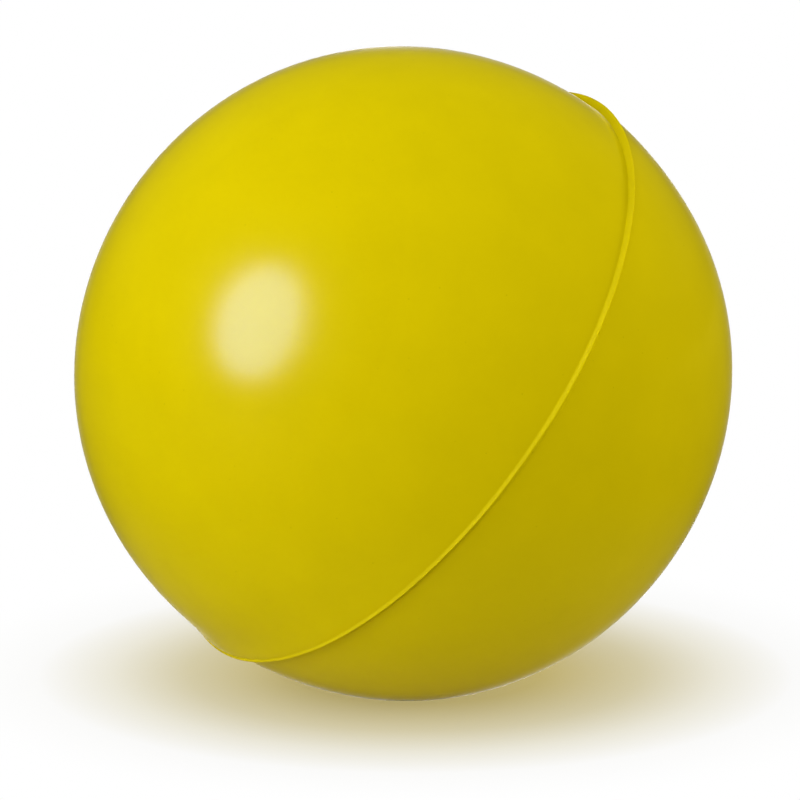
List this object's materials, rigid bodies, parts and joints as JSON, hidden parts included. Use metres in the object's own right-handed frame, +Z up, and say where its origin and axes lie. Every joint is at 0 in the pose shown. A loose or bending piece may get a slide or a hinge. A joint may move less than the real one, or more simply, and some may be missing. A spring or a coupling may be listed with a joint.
{
  "type": "dodgeball",
  "caption": "Smooth inflated rubber ball with a raised seam bead round its middle and a flush needle valve, for throwing and catching games.",
  "frame": {"origin": "centre of the ball", "axes": "+Z up as the ball lies in the picture, +X to the right and +Y away from the camera; the valve points right, back and down, at 23.2 degrees from +X towards +Y and 36.5 degrees below level"},
  "size_m": [0.216, 0.216, 0.216],
  "materials": {
    "cover_skin": "satin",
    "seam_gum": "satin",
    "winding_thread": "matte",
    "bladder_rubber": "matte",
    "housing_rubber": "matte",
    "core_rubber": "satin"
  },
  "bodies": {
    "ball": {"cover_front_half": "cover_skin", "cover_back_half": "cover_skin", "seam_bead": "seam_gum", "thread_winding": "winding_thread", "bladder": "bladder_rubber", "valve_patch": "bladder_rubber", "valve_housing": "housing_rubber"},
    "core": {"valve_core": "core_rubber"}
  },
  "joints": [
    {"name": "valve_core_pull", "type": "slide", "parent": "ball", "child": "core", "axis": [0.7389, 0.3167, -0.5948], "range_m": [0, 0.026]}
  ]
}
